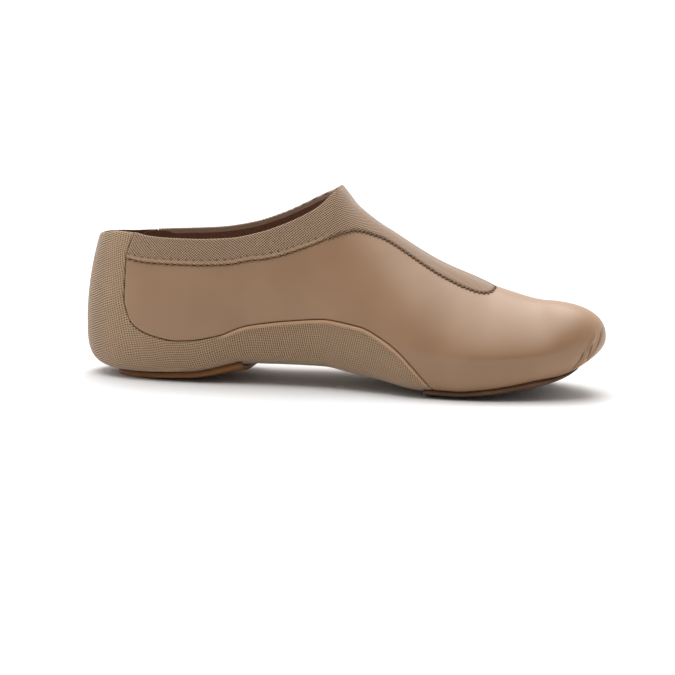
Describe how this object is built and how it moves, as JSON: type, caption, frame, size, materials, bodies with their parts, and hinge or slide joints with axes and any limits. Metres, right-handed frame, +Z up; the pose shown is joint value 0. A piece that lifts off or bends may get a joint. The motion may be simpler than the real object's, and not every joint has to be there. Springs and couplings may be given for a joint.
{
  "type": "jazz shoe",
  "caption": "soft slip-on split-sole dance shoe with leather upper, knit heel and arch panel, elastic collar and instep gore",
  "frame": {"origin": "middle of the shoe's footprint box, on the surface it stands on", "axes": "+X from heel to toe, +Y to the outer side of this left shoe, +Z up"},
  "size_m": [0.24, 0.082, 0.0887],
  "materials": {
    "leather": "smooth tan leather, satin",
    "knit": "tan ribbed stretch knit",
    "elastic": "tan woven elastic, fine twill",
    "sole": "matt brown sheet sole",
    "pad": "matt brown rubber",
    "lining": "dark brown brushed lining"
  },
  "bodies": {
    "root": {"upper": "leather", "heel_arch_knit": "knit", "collar_gore": "elastic", "forefoot_sole": "sole", "heel_pad": "pad", "insole": "lining"}
  },
  "joints": []
}
